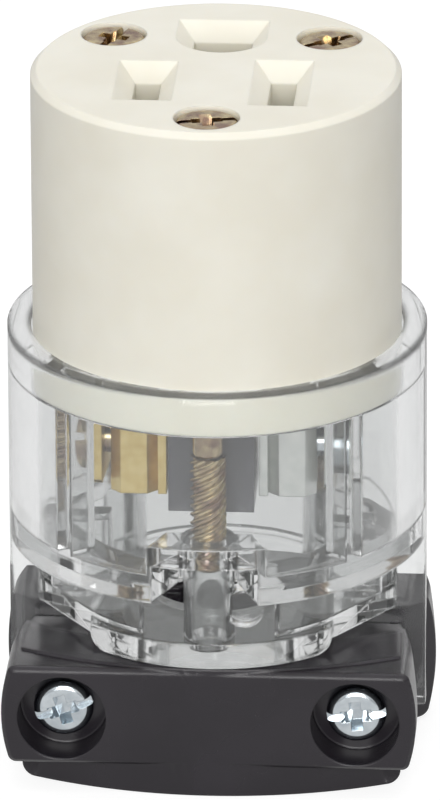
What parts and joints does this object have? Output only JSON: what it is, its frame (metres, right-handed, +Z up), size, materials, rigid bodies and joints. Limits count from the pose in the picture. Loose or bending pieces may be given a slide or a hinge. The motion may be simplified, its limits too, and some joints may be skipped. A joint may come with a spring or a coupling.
{
  "type": "type b cord connector",
  "caption": "Rewireable female cord connector for type B plugs: cream face body, clear rear housing that shows the terminals, and a black screw-drawn cord clamp.",
  "frame": {"origin": "bottom centre of the box round the part, on the axis of the round body, where the cord clamp stands", "axes": "+Z runs up the axis from the cord clamp to the socket face, -Y is the side of the clamp screw heads, -X is the line side and +X is the neutral side"},
  "size_m": [0.041, 0.0396, 0.0677],
  "materials": {
    "cream_nylon": "satin moulded",
    "clear_polycarbonate": "clear moulded",
    "black_nylon": "glossy moulded",
    "dark_moulding": "smooth moulded",
    "terminal_brass": "bright",
    "screw_brass": "yellow passivated",
    "nickel_plate": "nickel plated",
    "zinc_steel": "bright zinc plated",
    "green_screw": "green passivated"
  },
  "bodies": {
    "root": {"face_body": "cream_nylon", "rear_housing": "clear_polycarbonate", "cord_clamp_front": "black_nylon", "cord_clamp_rear": "black_nylon", "contact_retainer": "dark_moulding", "line_contact": "terminal_brass", "neutral_contact": "nickel_plate", "ground_contact": "terminal_brass", "line_terminal": "terminal_brass", "neutral_terminal": "nickel_plate", "ground_terminal": "terminal_brass", "line_clamp_plate": "terminal_brass", "neutral_clamp_plate": "nickel_plate", "ground_clamp_plate": "nickel_plate", "line_terminal_screw": "screw_brass", "neutral_terminal_screw": "zinc_steel", "ground_terminal_screw": "green_screw", "assembly_screw_front": "screw_brass", "assembly_screw_left": "screw_brass", "assembly_screw_right": "screw_brass", "clamp_screw_left": "zinc_steel", "clamp_screw_right": "zinc_steel"}
  },
  "joints": []
}
